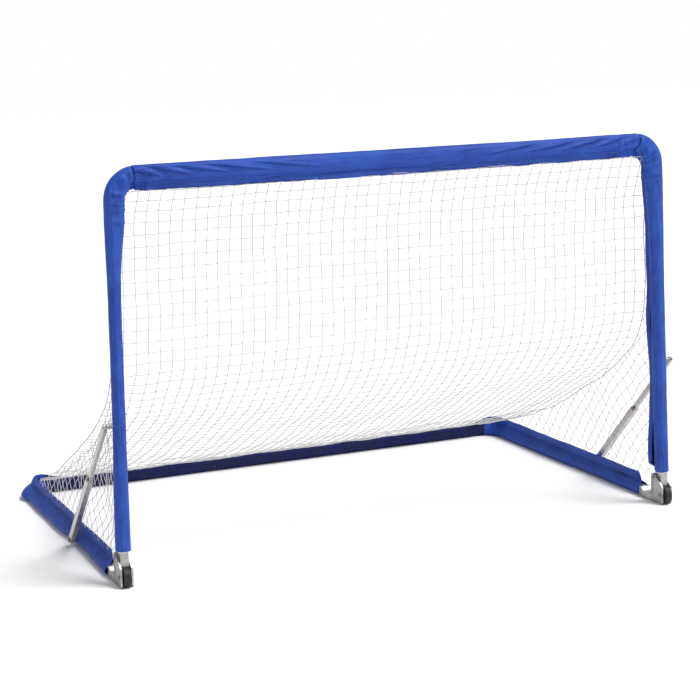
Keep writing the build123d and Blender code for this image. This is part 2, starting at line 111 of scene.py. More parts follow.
# ---- view and light ----
CAMERA_X, CAMERA_FRONT, CAMERA_Z = -2.246, 4.904, 1.579   # across, in front of the posts, up
CAMERA_YAW, CAMERA_PITCH, CAMERA_ROLL = 22.84, 10.21, -1.93   # degrees right, down and tilted
LENS, SENSOR = 92.75, 36.0    # millimetres
SUN_STRENGTH, SUN_SPREAD, SUN_FROM = 2.9, 26, (2.6, -2.0, 6.0)    # spread in degrees
LAMP_PLACE, LAMP_SIZE, LAMP_POWER = (3.0, -7.0, 2.0), 2.0, 90     # a soft fill, in watts
SURROUND_LIGHT = 0.42         # of the white surround, which the camera sees at 1

# ---- places read from the frame ----
BASE, FRONT = "base", "front_frame"
SIDES = (("left", -1), ("right", 1))


def middle(node):
    low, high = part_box(node)
    return (low + high) / 2


half_width = middle("right_wheel_tyre").x
post_y = middle("crossbar_tube").y
bar_z = middle("crossbar_tube").z
back_y = middle("back_rail_tube").y
rail_z = middle("back_rail_tube").z
sleeve_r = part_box("crossbar_sleeve")[1].y - post_y
flap_reach = bar_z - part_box("crossbar_sleeve")[0].z
post_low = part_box("right_post_sleeve")[0].z
rail_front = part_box("right_rail_sleeve")[0].y
bolt_y = middle("right_rail_bolt").y
hinge = middle("right_hinge_pin")
top_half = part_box("crossbar_tube")[1].x + BAR_JOINT
lean_rate = (half_width - top_half) / (bar_z - hinge.z)

# ---- materials ----
class Shader:
    """A material with a Principled shader, and short calls to add nodes to it."""

    def __init__(self, name, roughness, metallic=0.0, sheen=0.0, specular=0.5):
        self.material = bpy.data.materials.new(name)
        self.material.use_nodes = True
        self.tree = self.material.node_tree
        self.surface = self.tree.nodes["Principled BSDF"]
        self.surface.inputs["Roughness"].default_value = roughness
        self.surface.inputs["Metallic"].default_value = metallic
        self.surface.inputs["Sheen Weight"].default_value = sheen
        self.surface.inputs["Specular IOR Level"].default_value = specular

    def node(self, kind, inputs=(), **settings):
        made = self.tree.nodes.new("ShaderNode" + kind)
        for key, value in settings.items():
            setattr(made, key, value)
        for key, value in dict(inputs).items():
            if isinstance(value, bpy.types.NodeSocket):
                self.tree.links.new(value, made.inputs[key])
            else:
                made.inputs[key].default_value = value
        return made

    def link(self, socket, name):
        self.tree.links.new(socket, self.surface.inputs[name])

    def place(self, scale=(1, 1, 1), uv=None):
        """Object coordinates, or a named UV layer laid out in metres, times a scale."""
        if uv:
            source = self.node("UVMap", uv_map=uv).outputs["UV"]
        else:
            source = self.node("TexCoord").outputs["Object"]
        return self.node("Mapping", {"Vector": source, "Scale": scale}).outputs["Vector"]

    def noise(self, place, scale, detail=3.0, roughness=0.5):
        inputs = {"Vector": place, "Scale": scale, "Detail": detail, "Roughness": roughness}
        return self.node("TexNoise", inputs).outputs["Fac"]

    def spread(self, value, low, high, to_low=0.0, to_high=1.0):
        inputs = {"Value": value, "From Min": low, "From Max": high}
        inputs |= {"To Min": to_low, "To Max": to_high}
        return self.node("MapRange", inputs).outputs["Result"]

    def maths(self, operation, a, b=0.0):
        return self.node("Math", {0: a, 1: b}, operation=operation).outputs["Value"]

    def mix(self, factor, a, b):
        """A mix of two colours. A Mix node's sockets 6 and 7 are its colours, 2 their result."""
        inputs = {"Factor": factor, 6: a, 7: b}
        return self.node("Mix", inputs, data_type="RGBA").outputs[2]

    def bump(self, height, strength, distance):
        inputs = {"Height": height, "Strength": strength, "Distance": distance}
        self.link(self.node("Bump", inputs).outputs["Normal"], "Normal")


def colour(r, g, b):
    """A colour as seen on screen, 0 to 255, in the linear values that a shader takes."""
    def linear(c):
        c /= 255
        return c / 12.92 if c <= 0.04045 else ((c + 0.055) / 1.055) ** 2.4

    return (linear(r), linear(g), linear(b), 1.0)


def fabric_material(name, dark, main, light):
    """Dyed woven polyester: plain weave, slubs, a soft drift of colour, and painted highlight in
    light streaks along its length.
    """
    shader = Shader(name, 0.62, specular=0.3)
    weave_place = shader.place(uv="weave")
    split = shader.node("SeparateXYZ", {"Vector": weave_place})
    threads = 2 * math.pi / 0.0011
    warp = shader.maths("SINE", shader.maths("MULTIPLY", split.outputs["X"], threads))
    weft = shader.maths("SINE", shader.maths("MULTIPLY", split.outputs["Y"], threads))
    weave = shader.maths("MULTIPLY", warp, weft)
    slub = shader.noise(weave_place, 190.0, 2.0)
    drift = shader.noise(shader.place(), 9.0, 4.0, 0.6)
    # Lighter streaks along the sleeve, mixed towards the light colour below: painted highlight,
    # strips of light along the tube.
    painted_highlight_streak = shader.noise(shader.place(scale=(6, 60, 1), uv="weave"), 3.0, 3.0)
    base = shader.mix(shader.spread(drift, 0.35, 0.68), colour(*dark), colour(*main))
    base = shader.mix(shader.spread(painted_highlight_streak, 0.4, 0.75, 0.0, 0.35), base, colour(*light))
    base = shader.mix(shader.spread(weave, -1, 1, 0.0, 0.28), base, colour(*dark))
    shader.link(base, "Base Color")
    shader.link(shader.spread(drift, 0.3, 0.7, 0.52, 0.68), "Roughness")
    height = shader.maths("ADD", shader.maths("MULTIPLY", weave, 0.5), slub)
    shader.bump(height, 0.35, 0.0003)
    return shader.material


def thread_material():
    """Polyester sewing thread, a little lighter than the fabric."""
    shader = Shader("sewing_thread", 0.5, specular=0.4)
    twist = shader.noise(shader.place(), 1400.0, 1.0)
    shader.link(shader.mix(twist, colour(52, 84, 168), colour(88, 120, 198)), "Base Color")
    return shader.material


def net_material():
    """White braided cord."""
    shader = Shader("net_cord", 0.7, sheen=0.1, specular=0.3)
    braid = shader.noise(shader.place(), 900.0, 2.0)
    grime = shader.noise(shader.place(), 5.0, 3.0)
    base = shader.mix(braid, colour(168, 166, 168), colour(214, 212, 213))
    base = shader.mix(shader.spread(grime, 0.4, 0.7, 0.0, 0.2), base, colour(160, 156, 154))
    shader.link(base, "Base Color")
    shader.bump(braid, 0.4, 0.0003)
    return shader.material


def cast_material():
    """Tumbled cast aluminium: pebbled skin, dull in the hollows and brighter where it is rubbed."""
    shader = Shader("cast_aluminium", 0.45, metallic=0.75)
    place = shader.place()
    pebble = shader.noise(place, 420.0, 4.0, 0.6)
    patch = shader.noise(place, 45.0, 4.0, 0.6)
    base = shader.mix(shader.spread(patch, 0.35, 0.7), colour(158, 158, 160), colour(196, 195, 194))
    base = shader.mix(shader.spread(pebble, 0.25, 0.5, 0.35, 0.0), base, colour(104, 104, 106))
    shader.link(base, "Base Color")
    shader.link(shader.spread(patch, 0.3, 0.7, 0.36, 0.56), "Roughness")
    shader.bump(pebble, 0.5, 0.0006)
    return shader.material


def drawn_material(name, dark, light, roughness, across):
    """Drawn or rolled metal, with fine marks along its length. across scales the marks' axes."""
    shader = Shader(name, roughness, metallic=0.9)
    marks = shader.noise(shader.place(scale=across), 1.0, 4.0, 0.65)
    patch = shader.noise(shader.place(), 30.0, 4.0, 0.6)
    base = shader.mix(shader.spread(marks, 0.3, 0.7), colour(*dark), colour(*light))
    base = shader.mix(shader.spread(patch, 0.45, 0.75, 0.0, 0.3), base, colour(*dark))
    shader.link(base, "Base Color")
    shader.link(shader.spread(marks, 0.3, 0.7, roughness - 0.08, roughness + 0.1), "Roughness")
    shader.bump(marks, 0.25, 0.0002)
    return shader.material


def rubber_material():
    """Black moulded rubber, scuffed grey on the tread."""
    shader = Shader("black_rubber", 0.6, specular=0.4)
    place = shader.place()
    grain = shader.noise(place, 700.0, 3.0)
    scuff = shader.noise(place, 90.0, 5.0, 0.7)
    base = shader.mix(shader.spread(scuff, 0.5, 0.75), colour(20, 20, 20), colour(66, 64, 62))
    shader.link(base, "Base Color")
    shader.link(shader.spread(scuff, 0.4, 0.7, 0.5, 0.75), "Roughness")
    shader.bump(grain, 0.3, 0.0003)
    return shader.material


def plastic_material():
    """Dark grey moulded nylon."""
    shader = Shader("moulded_plastic", 0.42)
    grain = shader.noise(shader.place(), 500.0, 3.0)
    shader.link(shader.mix(grain, colour(38, 38, 40), colour(58, 58, 60)), "Base Color")
    shader.bump(grain, 0.2, 0.0002)
    return shader.material


# ---- meshes ----
def piece(name, points, faces, material, smooth=True):
    mesh = bpy.data.meshes.new(name)
    mesh.from_pydata([tuple(p) for p in points], [], [tuple(f) for f in faces])
    mesh.validate()
    if smooth:
        mesh.shade_smooth()
    else:
        mesh.shade_flat()
    made = bpy.data.objects.new(name, mesh)
    bpy.context.scene.collection.objects.link(made)
    made.data.materials.append(material)
    return made


def smoothstep(t):
    t = np.clip(t, 0, 1)
    return t * t * (3 - 2 * t)


def noise_of(points, scale, seed):
    """Perlin noise, about -0.5 to 0.5, at each of an array of points."""
    shift = Vector((seed * 7.31, seed * 3.17, seed * 1.93))
    flat = points.reshape(-1, 3) * scale
    found = [noise.noise(Vector(p) + shift) for p in flat]
    return np.array(found).reshape(points.shape[:-1])


# ---- the fabric sleeves ----
class Route:
    """A tube's axis: straight runs with round bends. out is square to the plane it lies in, and
    the bends' inside is to the side of cross(out, direction of travel)."""

    def __init__(self, out, *corners):
        self.out = np.array(out, float)
        corners = [np.array(c, float) for c in corners]
        ways = [(b - a) / np.linalg.norm(b - a) for a, b in zip(corners, corners[1:])]
        self.parts, self.bends, s, start = [], [], 0.0, corners[0]
        for k, way in enumerate(ways):
            end = corners[k + 1]
            if k + 1 < len(ways):
                turn = math.acos(float(way @ ways[k + 1]))
                tangent = BEND_RADIUS * math.tan(turn / 2)
                end = end - tangent * way
            run = np.linalg.norm(end - start)
            self.parts.append((s, start, way, 0.0))
            s += run
            if k + 1 < len(ways):
                self.parts.append((s, end, way, turn))
                self.bends.append((s, s + BEND_RADIUS * turn))
                s += BEND_RADIUS * turn
                start = corners[k + 1] + tangent * ways[k + 1]
        self.length = s

    def at(self, s):
        """Position, direction of travel and direction towards the inside, at distances s."""
        place, ahead = np.zeros(s.shape + (3,)), np.zeros(s.shape + (3,))
        for k, (first, start, way, turn) in enumerate(self.parts):
            here = s >= first if k else np.ones(s.shape, bool)
            past = (s - first)[..., None]
            inside = np.cross(self.out, way)
            if turn:
                angle = past / BEND_RADIUS
                moved = np.sin(angle) * way + (1 - np.cos(angle)) * inside
                where = start + BEND_RADIUS * moved
                going = np.cos(angle) * way + np.sin(angle) * inside
            else:
                where, going = start + past * way, np.broadcast_to(way, place.shape)
            place = np.where(here[..., None], where, place)
            ahead = np.where(here[..., None], going, ahead)
        return place, ahead, np.cross(self.out, ahead)

    def in_bend(self, s, soft):
        """1 in a bend, fading to 0 over a distance beyond it."""
        found = 0 * s
        for first, last in self.bends:
            found += smoothstep((s - first + soft) / soft) * smoothstep((last + soft - s) / soft)
        return np.clip(found, 0, 1)


def section():
    """Teardrop outline of a sleeve, closed, anticlockwise, as distances along and beside the
    flap's direction, with how far each point belongs to the round part."""
    turn = math.acos(sleeve_r / STITCH_AT)
    flap = np.linspace(flap_reach, STITCH_AT, FLAP_POINTS)
    puff = FLAP_HALF * (1 + 0.35 * np.sin(np.pi * (flap - STITCH_AT) / (flap_reach - STITCH_AT)))
    puff[0] *= 0.55
    edge = np.stack([flap, puff], 1)
    root = sleeve_r * np.array([math.cos(turn), math.sin(turn)])
    web = [edge[-1] + (root - edge[-1]) * t for t in WEB_SHARES]
    angles = np.linspace(turn, 2 * math.pi - turn, ARC_POINTS)
    arc = sleeve_r * np.stack([np.cos(angles), np.sin(angles)], 1)
    half = np.concatenate([edge, web])
    shares = np.array([0.0] * FLAP_POINTS + list(WEB_SHARES))
    round_share = np.concatenate([shares, np.ones(ARC_POINTS), shares[::-1]])
    return np.concatenate([half, arc, (half * [1, -1])[::-1]]), round_share


def outline_normals(outline):
    """Unit vectors square to a closed outline, pointing out of it."""
    step = np.roll(outline, -1, 0) - np.roll(outline, 1, 0)
    step /= np.linalg.norm(step, axis=1)[:, None]
    return np.stack([step[:, 1], -step[:, 0]], 1)


def between(s, places):
    """A value given at some distances along a sleeve, eased in between."""
    at, values = np.array(places).T
    k = np.clip(np.searchsorted(at, s) - 1, 0, len(at) - 2)
    t = smoothstep((s - at[k]) / (at[k + 1] - at[k]))
    return values[k] + (values[k + 1] - values[k]) * t


class Look:
    """How one sleeve hangs. turn, fit, slack, pocket and lean are values at distances along its
    route."""

    def __init__(self, turn, fit, seed):
        self.turn = turn                # of the flap, from the route's out to its inside
        self.fit = fit                  # the sleeve's radius, in radii of the CAD's
        self.seed = seed
        none = ((0, 0), (1, 0))
        self.slack = none               # how far the inside of the sleeve hangs off the tube
        self.pocket = none              # how far its outer side does
        self.lean = none                # of the flap, to the side
        self.rise = 0.0                 # share by which the flap is taller
        self.fill = 0.0                 # how far the outer side stands out in a bend
        self.cuts = (0.0, 0.0)          # how far the flap is cut back at each end
        self.seams = ()                 # place, height and width of the seams round it
        self.drapes = ()                # long folds, as in DRAPES
        self.grounded = False           # keeps it above the ground


def drape_folds(s, around, drapes):
    """Long folds that start at the top of a seam and sweep down to the stitching."""
    height = 0 * s
    for start, reach, top, width, lift in drapes:
        line = start + reach * np.clip(around, 0, 1) ** 1.25
        side = (s - line) / width * math.copysign(1, reach)
        shape = np.exp(-(side ** 2)) - 0.9 * np.exp(-((side + 1.6) ** 2) / 0.6)
        height += lift * shape * smoothstep((around - top) / 0.2) * smoothstep((1.04 - around) / 0.2)
    return height


def flap_frame(route, look, s):
    """Position, the way to the inside, the way the flap points and the way square to both that
    and the tube, at distances s."""
    place, ahead, inside = route.at(s)
    turn = between(s, look.turn)[..., None]
    flap_way = np.cos(turn) * route.out + np.sin(turn) * inside
    return place, inside, flap_way, np.cross(ahead, flap_way)


def flap_shares(along):
    """How far out on the flap a point is, and how far it leans with the flap, each 0 to 1."""
    side = 0.6 * sleeve_r
    on_flap = np.clip((along - STITCH_AT) / (flap_reach - STITCH_AT), 0, 1)
    return on_flap, np.clip((along - side) / (flap_reach - side), 0, 1)


def flap_wave(look, s):
    """How far the flap's edge wanders to the side at distances s."""
    return FLAP_WAVE * noise_of(np.stack([s * 7, s * 0, s * 0], -1), 1.0, look.seed + 8)


def wrinkles(look, s, outline, to_inside, near_bend):
    """How far the fabric stands off its smooth shape, and the broad and fine noise in that. Each
    kind of wrinkle is about -1 to 1 or less, times its height in metres."""
    along, beside = outline[None, :, 0], outline[None, :, 1]
    sample = np.stack([s * 9, along * 40 + 0 * s, beside * 40 + 0 * s], -1)
    broad = noise_of(sample, 1.0, look.seed)
    fine = noise_of(sample * [4.5, 1.5, 1.5], 1.0, look.seed + 3)
    long_fold = noise_of(sample * [0.4, 2.6, 2.6], 1.0, look.seed + 5)
    near_seam = np.exp(-(((outline[:, 0] - STITCH_AT) / 0.006) ** 2))
    pucker = np.sin(2 * math.pi * s / PUCKER_PITCH + 5 * broad) * near_seam
    tucks = noise_of(np.stack([s * 26, 0 * s + beside * 18, 0 * s], -1), 1.0, look.seed + 21)
    gather = np.sin(2 * math.pi * s / GATHER_PITCH + 11 * tucks) * (0.35 + 1.3 * np.abs(tucks))
    gather *= np.clip(0.75 + to_inside, 0, 1) * np.clip(1.1 - to_inside, 0.25, 1) * near_bend
    height = 0.0010 * broad + 0.0005 * fine + 0.0016 * long_fold + 0.0004 * pucker
    height += GATHER_HEIGHT * gather
    height -= 0.0016 * near_seam
    for at, lift, width in look.seams:
        height += lift * np.exp(-(((s - at) / width) ** 2))
    around = np.abs(np.arctan2(outline[:, 1], -outline[:, 0]) / 2.2)
    height += drape_folds(s, around[None] + 0 * s, look.drapes) * (outline[:, 1] < 0)
    return np.clip(height, -MOST_IN, MOST_OUT), broad, fine


def hollow_piece(name, outer, inner, material):
    """A closed piece between two surfaces of the same rows, which are joined at both ends."""
    rows, count = outer.shape[:2]
    points = np.concatenate([outer.reshape(-1, 3), inner.reshape(-1, 3)])
    faces, half, end = [], rows * count, (rows - 1) * count
    for i in range(rows - 1):
        for j in range(count):
            k = (j + 1) % count
            a, b, c, d = i * count + j, i * count + k, (i + 1) * count + k, (i + 1) * count + j
            faces += [(a, b, c, d), (half + d, half + c, half + b, half + a)]
    for j in range(count):
        k = (j + 1) % count
        faces += [(half + j, half + k, k, j), (end + j, end + k, half + end + k, half + end + j)]
    return piece(name, points, faces, material)


def lay_weave(cover, s, outline):
    """A UV layer in metres along a sleeve and round it, the same for both of its surfaces."""
    lengths = np.linalg.norm(np.diff(outline, axis=0), axis=1)
    across = np.concatenate([[0], np.cumsum(lengths)])
    u = np.tile(s.ravel(), 2)
    v = np.tile(np.broadcast_to(across, s.shape).ravel(), 2)
    loops = np.zeros(len(cover.data.loops), int)
    cover.data.loops.foreach_get("vertex_index", loops)
    layer = cover.data.uv_layers.new(name="weave")
    layer.data.foreach_set("uv", np.stack([u[loops], v[loops]], 1).ravel())


def sleeve(name, route, first, last, look, material):
    """A hollow fabric sleeve along part of a route, with its stitched flap. f and g are a
    point's distances from the tube's axis along the flap's direction and square to it."""
    outline, round_share = section()
    along, beside = outline.T
    normals = outline_normals(outline)
    on_flap, hang = flap_shares(along)
    s_rows = np.linspace(first, last, int((last - first) / STEP) + 1)
    from_first = (1 - np.clip((s_rows - first) / CUT_EASE, 0, 1))[:, None]
    from_last = (1 - np.clip((last - s_rows) / CUT_EASE, 0, 1))[:, None]
    cut = hang[None] ** 1.3
    s = s_rows[:, None] + look.cuts[0] * cut * from_first - look.cuts[1] * cut * from_last
    place, inside, flap_way, side_way = flap_frame(route, look, s)
    facing = flap_way * normals[:, :1] + side_way * normals[:, 1:]
    to_inside = (inside * facing).sum(-1)
    bend = route.in_bend(s, BEND_EASE)
    push, broad, fine = wrinkles(look, s, outline, to_inside, route.in_bend(s, GATHER_EASE))

    size = 1 + (between(s, look.fit) - 1) * round_share
    f = along * size + look.rise * (flap_reach - STITCH_AT) * on_flap
    beyond = np.maximum(along - STITCH_AT, 0) * np.clip((inside * flap_way).sum(-1), 0, 1)
    f -= FLAP_SHRINK * beyond * bend
    f = f + push * normals[:, 0]
    g = beside * size + push * normals[:, 1]
    g += look.fill * bend * np.clip(normals[:, 1], 0, 1) * (1 - on_flap)
    low = np.exp(-(((along + 0.007) / 0.016) ** 2)) * (beside > 0)
    g += between(s, look.pocket) * (1 + 0.15 * broad) * low
    g += flap_wave(look, s_rows)[:, None] * on_flap + between(s, look.lean) * hang
    hung = (between(s, look.slack) * np.clip(to_inside, 0, 1) ** 0.7)[..., None]
    place = place + hung * inside

    solid = along > STITCH_AT - FLAP_SOLID
    f_in = np.where(solid, np.minimum(f, STITCH_AT - 0.005), f - FABRIC * normals[:, 0])
    g_in = np.where(solid, g - 0.85 * beside, g - FABRIC * normals[:, 1])
    outer = place + f[..., None] * flap_way + g[..., None] * side_way
    inner = place + f_in[..., None] * flap_way + g_in[..., None] * side_way
    if look.grounded:
        outer[..., 2] = np.maximum(outer[..., 2], GROUND_GAP + 0.0002 * fine)
        inner[..., 2] = np.maximum(inner[..., 2], GROUND_GAP + FABRIC)
    made = hollow_piece(name, outer, inner, material)
    lay_weave(made, s, outline)
    return made


def stitches(name, route, first, last, look, material):
    """Thread in short stitches along both faces of a flap, beside its folded edge and its root."""
    points, faces = [], []
    quads = [(0, 1, 5, 4), (1, 2, 6, 5), (2, 3, 7, 6), (3, 0, 4, 7), (3, 2, 1, 0), (4, 5, 6, 7)]
    for offset in (STITCH_AT + ROOT_STITCH, flap_reach - EDGE_STITCH):
        on_flap, hang = flap_shares(offset)
        for at in np.arange(first + 0.01, last - 0.01, STITCH_PITCH):
            s = np.array([at, at + STITCH_LENGTH])
            place, _, flap_way, side_way = flap_frame(route, look, s)
            g = (flap_wave(look, s) * on_flap + between(s, look.lean) * hang)[..., None]
            bend = route.in_bend(s, BEND_EASE)[..., None]
            f = offset - FLAP_SHRINK * (offset - STITCH_AT) * bend
            for face in (-1, 1):
                line = place + f * flap_way + (g + face * FLAP_HALF * 1.15) * side_way
                start = len(points)
                for p in line:
                    for a, b in ((-1, -0.4), (1, -0.4), (1, 1), (-1, 1)):
                        wide, high = THREAD_HALF * a, THREAD_RISE * b * face
                        points.append(p + wide * flap_way[0] + high * side_way[0])
                faces += [tuple(start + i for i in q) for q in quads]
    return piece(name, points, faces, material, smooth=False)


def routes():
    """The front frame's axis, left foot to right foot, and the base's, right foot to left."""
    low_x = half_width - lean_rate * (post_low - hinge.z)
    front = Route(
        (0, 1, 0),
        (-low_x, post_y, post_low),
        (-top_half, post_y, bar_z),
        (top_half, post_y, bar_z),
        (low_x, post_y, post_low),
    )
    base = Route(
        (0, 0, 1),
        (half_width, rail_front, rail_z),
        (half_width, back_y, rail_z),
        (-half_width, back_y, rail_z),
        (-half_width, rail_front, rail_z),
    )
    return front, base


def front_sleeves(route, fabric):
    """Name, start, end, look and material of each sleeve on the front frame."""
    a, b = route.bends
    end = route.length
    seam_a = a[0] + FRONT_SEAM * (a[1] - a[0])
    seam_b = b[1] - FRONT_SEAM * (b[1] - b[0])
    turn = [(0, 0), (a[0] - 0.02, 0), (a[1] + 0.03, BAR_FLAP_TURN)]
    turn += [(b[0] - 0.03, BAR_FLAP_TURN), (b[1] + 0.02, 0), (end, 0)]
    lean = [(0, -POST_END_IN), (0.35, -POST_LOW_IN), (a[0], -POST_FLAP_IN), (a[1], 0)]
    lean += [(b[0], 0), (b[1], -POST_FLAP_IN), (end - 0.35, -POST_LOW_IN), (end, -POST_END_IN)]
    fit = [(0, 1.12), (0.09, 1.1), (0.35, 0.95), (a[0] - 0.3, 0.95), (a[0] - 0.04, 1.18)]
    fit += [(a[1], 1.08), (a[1] + 0.3, 1.06), (b[0] - 0.3, 1.06), (b[0], 1.1)]
    fit += [(b[1] + 0.04, 1.22), (b[1] + 0.3, 1.16), (end - 0.5, 1.12), (end, 1.12)]
    slack = [(0, 0), (a[0] - 0.22, 0), (a[0], 0.015), (a[0] + 0.05, 0.016), (seam_a, 0.001)]
    slack += [(seam_b, 0.001), (b[1] - 0.05, 0.016), (b[1], 0.012), (b[1] + 0.26, 0), (end, 0)]
    bar_slack = [(a[1], 0.001), (end / 2, 0.006), (b[0], 0.001)]
    drapes = []
    for start, reach, top, width, lift in DRAPES:
        drapes.append((seam_a + start, reach, top, width, lift))
        drapes.append((seam_b - start, -reach, top, width, lift))
    spans = (
        ("left_post", 0, seam_a - SEAM_GAP, (END_CUT, 0)),
        ("crossbar", seam_a + SEAM_GAP, seam_b - SEAM_GAP, (0, 0)),
        ("right_post", seam_b + SEAM_GAP, end, (0, END_CUT)),
    )
    for index, (name, first, last, cuts) in enumerate(spans):
        look = Look(turn, fit, 11 + 7 * index)
        look.cuts, look.slack, look.lean = cuts, slack, lean
        look.seams = [(at, -0.0014, 0.004) for at in (seam_a, seam_b)]
        look.seams += [(at, 0.0006, 0.01) for at in (0, end)]
        if name == "crossbar":
            look.slack, look.drapes = bar_slack, drapes
        yield name, first, last, look, fabric


def base_sleeves(route, rail_fabric, back_fabric):
    """Name, start, end, look and material of each sleeve on the base."""
    a, b = route.bends
    end = route.length
    seam_a = a[0] + BASE_SEAM * (a[1] - a[0])
    seam_b = b[1] - BASE_SEAM * (b[1] - b[0])
    bolt = bolt_y - rail_front
    turn = [(0, 0), (a[0] + 0.02, 0), (a[1] + 0.06, BACK_FLAP_TURN)]
    turn += [(b[0] - 0.06, BACK_FLAP_TURN), (b[1] - 0.02, 0), (end, 0)]
    fit = [(0, 1.0), (0.1, 1.03), (bolt - 0.2, 1.03), (bolt - 0.1, 0.98), (bolt + 0.05, 0.98)]
    fit += [(bolt + 0.12, 1.1), (a[0] - 0.1, 1.1), (a[1], 1.12)]
    fit += [(end - at, value) for at, value in reversed(fit)]
    pocket = [(0, 0.008), (bolt - 0.32, 0.008), (bolt - 0.10, 0), (bolt + 0.035, 0)]
    pocket += [(bolt + 0.20, 0.011)]
    pocket += [(end - at, value) for at, value in reversed(pocket)]
    spans = (
        ("right_rail", 0, seam_a - SEAM_GAP, (END_CUT, 0), rail_fabric),
        # The back rail's fabric is the darker copy of the blue: painted shade.
        ("back_rail", seam_a + SEAM_GAP, seam_b - SEAM_GAP, (0, 0), back_fabric),
        ("left_rail", seam_b + SEAM_GAP, end, (0, END_CUT), rail_fabric),
    )
    for index, (name, first, last, cuts, fabric) in enumerate(spans):
        look = Look(turn, fit, 41 + 7 * index)
        look.cuts, look.fill, look.grounded = cuts, CORNER_FILL, True
        look.seams = [(at, 0.0014, 0.005) for at in (seam_a, seam_b)]
        if name != "back_rail":
            look.lean = ((0, -RAIL_FLAP_OUT), (end, -RAIL_FLAP_OUT))
            look.pocket, look.rise = pocket, RAIL_RISE
        yield name, first, last, look, fabric


def all_sleeves(materials):
    """Sleeves on the posts, crossbar, rails and back rail, each in place of its CAD solid."""
    front, base = routes()
    # The back rail gets a darker copy of the blue fabric: painted shade, for the net's shade on it.
    blue, blue_painted_shade, made = materials["blue"], materials["blue_painted_shade"], []
    plans = [(front, FRONT, *plan) for plan in front_sleeves(front, blue)]
    plans += [(base, BASE, *plan) for plan in base_sleeves(base, blue, blue_painted_shade)]
    for route, body, name, first, last, look, fabric in plans:
        cover = sleeve(f"{name}_fabric", route, first, last, look, fabric)
        starts, ends = first + max(look.cuts[0], STITCH_END), last - max(look.cuts[1], STITCH_END)
        sewn = stitches(f"{name}_stitches", route, starts, ends, look, materials["thread"])
        made.append((cover, sewn, body, name, last - first))
    outline = section()[0]
    around = float(np.linalg.norm(outline - np.roll(outline, 1, 0), axis=1).sum())
    for cover, sewn, body, name, length in made:
        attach(cover, body)
        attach(sewn, body)
        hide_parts(f"{name}_sleeve")


# ---- the net ----
def net_profile():
    """The net's line from the crossbar back and down to the back rail, as (y, z) points."""
    mesh = frame["nodes"]["net_back"].data
    found = sorted({(round(v.co.y - v.co.z, 4), v.co.y, v.co.z) for v in mesh.vertices})
    line = np.array([(y, z) for _, y, z in found])
    keep = [line[0]]
    for p in line[1:]:
        if np.linalg.norm(p - keep[-1]) > 0.012:
            keep.append(p)
    line = np.array(keep)
    for _ in range(3):
        line[1:-1] = (line[:-2] + 2 * line[1:-1] + line[2:]) / 4
    return line


def resample(line, steps):
    """Evenly spaced points along a polyline."""
    lengths = np.concatenate([[0], np.cumsum(np.linalg.norm(np.diff(line, axis=0), axis=1))])
    at = np.linspace(0, lengths[-1], steps)
    return np.stack([np.interp(at, lengths, line[:, k]) for k in range(line.shape[1])], 1)


flap_y = post_y + flap_reach
flap_z = rail_z + flap_reach


def round_corner(y, z):
    """0 on the rails' flaps, 1 on the posts' flaps, by the angle about the corner between them."""
    angle = np.arctan2(z - flap_z, y - flap_y)
    return np.clip(angle / (math.pi / 2), 0, 1)


def side_x(y, z):
    """How far out the side of the net lies: it leans in with the posts, from the rails' flaps."""
    turned_in = POST_FLAP_IN + RAIL_FLAP_OUT
    return half_width + RAIL_FLAP_OUT - turned_in * round_corner(y, z) - lean_rate * (z - flap_z)


def drift(points, seed, amount):
    """A smooth small wander, the same for every cord that passes through a point."""
    moved = [noise_of(points, 11.0, seed + k) for k in range(3)]
    return points + amount * np.stack(moved, -1)


class Cords:
    """Collects cords as four-sided tubes, and knots where they cross."""

    def __init__(self):
        self.points, self.faces = [], []

    def cord(self, line, radius):
        line = np.array(line, float)
        if len(line) < 2:
            return
        step = np.gradient(line, axis=0)
        step /= np.maximum(np.linalg.norm(step, axis=1), 1e-9)[:, None]
        helper = np.where(np.abs(step[:, :1]) > 0.8, [[0, 0, 1.0]], [[1.0, 0, 0]])
        u = np.cross(step, helper)
        u /= np.linalg.norm(u, axis=1)[:, None]
        v = np.cross(step, u)
        start = len(self.points)
        for a in range(4):
            angle = (a + 0.5) * math.pi / 2
            ring = line + radius * (math.cos(angle) * u + math.sin(angle) * v)
            self.points += ring.tolist()
        n = len(line)
        for a in range(4):
            b = (a + 1) % 4
            for i in range(n - 1):
                p, q = start + a * n + i, start + b * n + i
                self.faces.append((p, q, q + 1, p + 1))
        ends = [start + a * n for a in range(4)]
        self.faces += [tuple(ends[::-1]), tuple(e + n - 1 for e in ends)]

    def knot(self, centre, radius, seed):
        """A small faceted lump, twisted a little."""
        start = len(self.points)
        twist = Matrix.Rotation(seed * 2.39996, 3, Vector((0.3, 0.5, 0.8)).normalized())
        for p in KNOT[0]:
            self.points.append(tuple(Vector(centre) + twist @ (Vector(p) * radius)))
        self.faces += [tuple(start + i for i in f) for f in KNOT[1]]

    def piece(self, name, material):
        return piece(name, self.points, self.faces, material)


def knot_shape():
    """Points and faces of a unit lump, from an icosphere stretched one way."""
    ball = bmesh.new()
    bmesh.ops.create_icosphere(ball, subdivisions=1, radius=1.0)
    points = [(v.co.x, v.co.y, v.co.z * 1.25) for v in ball.verts]
    faces = [[v.index for v in f.verts] for f in ball.faces]
    ball.free()
    return points, faces


KNOT = knot_shape()


def back_surface(u, line):
    """Points of the back panel for shares u across (-1 to 1) of a profile's (y, z) points."""
    y, z = line[:, 0], line[:, 1]
    share = np.linspace(0, 1, len(line))
    sag = np.sin(math.pi * share) ** 1.3 * (1 - abs(u) ** 2.2)
    sag_y = BACK_SAG_Y * sag * (1 - share)
    sag_z = -BACK_SAG_Z * sag * share
    half = side_x(y, z) - BACK_DRAWN_IN * smoothstep((share - 0.86) / 0.14)
    return np.stack([u * half, y + sag_y, z + sag_z], 1)


